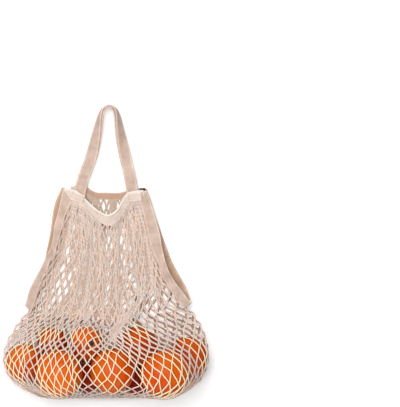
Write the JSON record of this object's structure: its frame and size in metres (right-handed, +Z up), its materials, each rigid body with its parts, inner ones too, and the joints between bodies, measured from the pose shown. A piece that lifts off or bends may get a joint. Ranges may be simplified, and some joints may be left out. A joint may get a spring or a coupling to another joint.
{
  "type": "filled mesh grocery bag",
  "caption": "Cotton mesh shopping bag full of oranges, laid on its back, with a tape-bound mouth, side slits and two short strap handles.",
  "frame": {"origin": "on the floor under the middle of the lying bag's box", "axes": "+Z up out of the bag's front, +Y from the foot of the bag to its handles, +X across it to the right"},
  "size_m": [0.3285, 0.4713, 0.1323],
  "materials": {
    "net_and_fruit": "open cotton net drawn over oranges",
    "cotton_cord": "matt unbleached cotton yarn",
    "orange_peel": "waxy dimpled peel",
    "cotton_tape": "matt plain-woven cotton with sewn edges",
    "cotton_strap": "matt woven cotton webbing",
    "label_cloth": "plain dark woven ribbon",
    "stem_green": "dry stem end of an orange"
  },
  "bodies": {
    "root": {"bag_net": "net_and_fruit", "rim_front": "cotton_tape", "rim_back": "cotton_tape", "side_back_right": "cotton_tape", "side_back_left": "cotton_tape", "side_front_right": "cotton_tape", "side_front_left": "cotton_tape", "handle_front": "cotton_strap", "handle_back": "cotton_strap", "cover_front_left": "cotton_tape", "cover_front_right": "cotton_tape", "cover_back_left": "cotton_tape", "cover_back_right": "cotton_tape", "rim_label": "label_cloth"}
  },
  "joints": []
}
